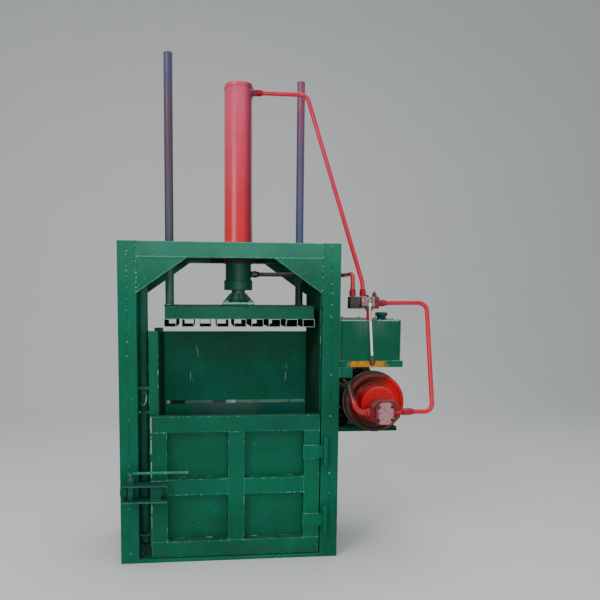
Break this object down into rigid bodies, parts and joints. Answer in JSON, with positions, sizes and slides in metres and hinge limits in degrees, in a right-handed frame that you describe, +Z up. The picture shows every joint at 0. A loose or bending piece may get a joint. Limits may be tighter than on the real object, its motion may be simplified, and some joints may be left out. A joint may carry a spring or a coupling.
{
  "type": "vertical hydraulic baler",
  "caption": "Vertical hydraulic recycling baler: green portal frame with a hinged bale door, top cylinder driving a platen on guide rods, side tank, motor and pump with red steel pipes.",
  "frame": {"origin": "on the floor, straight below the axis of the press cylinder, at the centre of the pad on the base frame", "axes": "+Z up along the press stroke axis, +X to the operator's right towards the power unit, +Y from the operator's side to the rear"},
  "size_m": [1.5442, 0.677, 2.474],
  "materials": {
    "frame_green": "satin machine enamel, aged, with chips and weld spatter",
    "sheet_green": "satin machine enamel, scuffed inside the chamber",
    "worn_green": "enamel rubbed thin by bales",
    "pin_steel": "greased",
    "cylinder_red": "gloss enamel, faded towards pink on top",
    "tank_green": "satin machine enamel with oil dust",
    "cap_dark": "enamel",
    "bracket_yellow": "yellow band over green enamel, worn",
    "motor_dark": "dark enamel over an aluminium casting, dusty",
    "flange_dark": "dark enamel over a casting",
    "fan_cover_dark": "dark enamel over pressed sheet",
    "box_dark": "dark enamel over a casting",
    "drive_red": "gloss enamel over a casting",
    "pump_body_red": "enamel over aluminium, oily",
    "pump_face": "bare casting with a rub of red paint",
    "bolt_dark": "oxidised",
    "pipe_red": "gloss enamel",
    "valve_metal": "bare and brown, machined faces lighter",
    "spool_steel": "ground",
    "lever_steel": "plated, dulled",
    "knob_brown": "moulded",
    "bolt_green": "enamel, chipped at the corners",
    "rod_rust": "bare pipe with thin brown rust",
    "piston_chrome": "hard chrome with an oil film",
    "door_green": "satin machine enamel, scratched, worn at the edges",
    "rotor_steel": "machined",
    "gear_steel": "ground"
  },
  "bodies": {
    "frame": {"base_frame": "frame_green", "front_columns": "frame_green", "rear_columns": "frame_green", "head_beams": "frame_green", "head_gussets": "frame_green", "head_cross_members": "frame_green", "cylinder_seat_plate": "frame_green", "guide_sleeves": "frame_green", "left_side_panel": "sheet_green", "right_wall": "sheet_green", "rear_wall": "sheet_green", "rear_wall_ribs": "frame_green", "rear_liner": "worn_green", "left_wall": "sheet_green", "chamber_posts": "frame_green", "floor_plate": "sheet_green", "floor_tubes": "worn_green", "door_keeper": "frame_green", "hinge_knuckles": "frame_green", "hinge_pins": "pin_steel", "cylinder_barrel": "cylinder_red", "cylinder_end_cap": "cylinder_red", "cylinder_gland": "frame_green", "tank_body": "tank_green", "tank_lid": "tank_green", "filler_cap": "cap_dark", "tank_brackets": "bracket_yellow", "motor_shelf": "frame_green", "motor_body": "motor_dark", "motor_flange": "flange_dark", "fan_cover": "fan_cover_dark", "terminal_box": "box_dark", "bell_housing": "drive_red", "pump_body": "pump_body_red", "pump_cover": "pump_face", "unit_bolts": "bolt_dark", "pressure_pipe": "pipe_red", "upper_pipe": "pipe_red", "lower_pipe": "pipe_red", "suction_pipe": "pipe_red", "return_pipe": "pipe_red", "pipe_unions": "pipe_red", "valve_body": "valve_metal"},
    "platen": {"platen_frame": "frame_green", "platen_tubes": "frame_green", "rod_flange": "frame_green", "rod_flange_bolts": "bolt_green", "guide_rods": "rod_rust", "piston_rod": "piston_chrome"},
    "door": {"door_frame": "door_green", "door_panel": "door_green", "hinge_straps": "door_green", "latch_plates": "door_green"},
    "latch": {"latch_handle": "door_green"},
    "lever": {"valve_lever": "lever_steel", "lever_knob": "knob_brown"},
    "spool": {"valve_spool": "spool_steel"},
    "rotor": {"motor_rotor": "rotor_steel", "pump_drive_gear": "gear_steel"},
    "driven_gear": {"pump_driven_gear": "gear_steel"}
  },
  "joints": [
    {"name": "platen_slide", "type": "slide", "parent": "frame", "child": "platen", "axis": [0, 0, -1], "range_m": [0, 0.75]},
    {"name": "door_swing", "type": "hinge", "parent": "frame", "child": "door", "pos_m": [0.425, -0.249, 0.372], "axis": [0, 0, 1], "range_deg": [0, 115]},
    {"name": "latch_turn", "type": "hinge", "parent": "door", "child": "latch", "pos_m": [-0.532, -0.27, 0.37], "axis": [0, 0, 1], "range_deg": [-100, 8]},
    {"name": "valve_lever_swing", "type": "hinge", "parent": "frame", "child": "lever", "pos_m": [0.637, -0.243, 1.283], "axis": [1, 0, 0], "range_deg": [-12, 12], "stiffness_Nm_per_rad": 20},
    {"name": "spool_slide", "type": "slide", "parent": "frame", "child": "spool", "axis": [0, 1, 0], "range_m": [-0.0037, 0.0037]},
    {"name": "motor_spin", "type": "hinge", "parent": "frame", "child": "rotor", "pos_m": [0.667, 0, 0.798], "axis": [0, 1, 0], "continuous": true},
    {"name": "driven_gear_spin", "type": "hinge", "parent": "frame", "child": "driven_gear", "pos_m": [0.667, -0.4, 0.752], "axis": [0, 1, 0], "continuous": true}
  ],
  "couplings": [
    {"joint": "spool_slide", "follows": "valve_lever_swing", "m_per_rad": -0.017},
    {"joint": "driven_gear_spin", "follows": "motor_spin", "ratio": -1}
  ]
}
